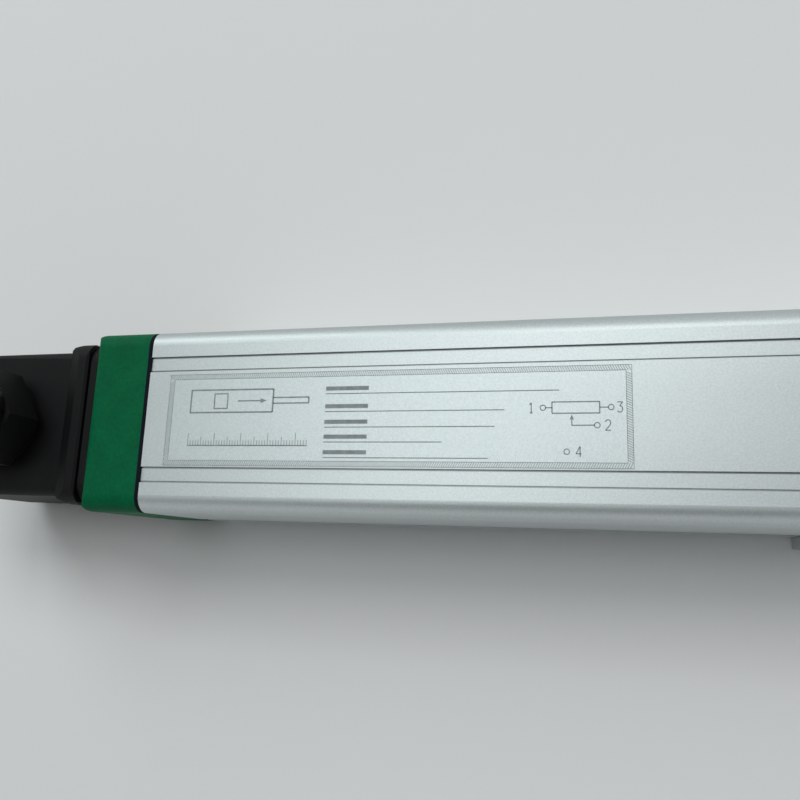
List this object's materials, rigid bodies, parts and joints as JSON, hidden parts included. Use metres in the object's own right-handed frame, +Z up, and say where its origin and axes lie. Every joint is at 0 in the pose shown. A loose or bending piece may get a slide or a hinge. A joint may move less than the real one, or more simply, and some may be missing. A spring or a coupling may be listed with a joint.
{
  "type": "linear potentiometer",
  "caption": "Rod-type linear potentiometer: square aluminium case, green end caps, sliding rod with threaded tip, square connector plug with cable gland, clamp feet.",
  "frame": {"origin": "middle of the case profile's flat underside", "axes": "+X along the rod, out of the case; +Z up from the underside; +Y completes the right-handed frame"},
  "size_m": [0.5847, 0.055, 0.0432],
  "materials": {
    "anodised_aluminium": "fine satin, clear anodised",
    "green_enamel": "semi-gloss deep green coating",
    "black_rubber": "matt",
    "dark_steel": "black oxide",
    "bright_steel": "zinc plated",
    "stainless_rod": "ground and polished",
    "bronze": "sintered bronze",
    "board_laminate": "glass-fibre laminate",
    "track_carbon": "smooth conductive film",
    "contact_metal": "plated",
    "wire_insulation": "extruded sleeve",
    "black_plastic": "moulded, slight sheen",
    "grey_plastic": "moulded",
    "white_plastic": "moulded, low friction",
    "clamp_aluminium": "satin, slightly darker than the case"
  },
  "bodies": {
    "case": {"case_profile": "anodised_aluminium", "rear_gasket": "black_rubber", "rear_cap": "green_enamel", "rear_cap_screws": "dark_steel", "front_gasket": "black_rubber", "front_cap": "green_enamel", "front_cap_screws": "dark_steel", "rod_bushing": "bronze", "rod_scraper": "black_rubber", "scraper_retainer": "bright_steel", "element_board": "board_laminate", "resistance_track": "track_carbon", "conductor_tracks": "contact_metal", "board_terminals": "contact_metal", "lead_wires": "wire_insulation", "base_gasket": "black_rubber", "connector_base": "black_plastic", "connector_blades": "contact_metal", "base_screws": "bright_steel", "plug_gasket": "black_rubber", "plug_housing": "black_plastic", "plug_insert": "grey_plastic", "plug_contacts": "contact_metal", "terminal_screws": "bright_steel", "plug_screw": "bright_steel", "plug_screw_seal": "black_rubber", "gland_seal": "black_rubber", "gland_washer": "bright_steel", "gland_nut": "black_plastic"},
    "carriage": {"carriage": "white_plastic", "ball_retainer": "bright_steel", "wiper_carrier": "board_laminate", "wiper_contacts": "contact_metal"},
    "rod": {"rod": "stainless_rod", "rod_ball": "bright_steel", "rod_lock_nut": "bright_steel"},
    "rear_left_clamp": {"rear_left_clamp": "clamp_aluminium"},
    "rear_right_clamp": {"rear_right_clamp": "clamp_aluminium"},
    "front_left_clamp": {"front_left_clamp": "clamp_aluminium"},
    "front_right_clamp": {"front_right_clamp": "clamp_aluminium"}
  },
  "joints": [
    {"name": "rod_slide", "type": "slide", "parent": "case", "child": "carriage", "axis": [1, 0, 0], "range_m": [0, 0.455]},
    {"name": "rod_spin", "type": "hinge", "parent": "carriage", "child": "rod", "pos_m": [0, 0, 0.0165], "axis": [1, 0, 0], "continuous": true},
    {"name": "rear_left_clamp_slide", "type": "slide", "parent": "case", "child": "rear_left_clamp", "axis": [1, 0, 0], "range_m": [-0.11, 0.096]},
    {"name": "rear_right_clamp_slide", "type": "slide", "parent": "case", "child": "rear_right_clamp", "axis": [1, 0, 0], "range_m": [-0.11, 0.096]},
    {"name": "front_left_clamp_slide", "type": "slide", "parent": "case", "child": "front_left_clamp", "axis": [1, 0, 0], "range_m": [-0.096, 0.11]},
    {"name": "front_right_clamp_slide", "type": "slide", "parent": "case", "child": "front_right_clamp", "axis": [1, 0, 0], "range_m": [-0.096, 0.11]}
  ]
}
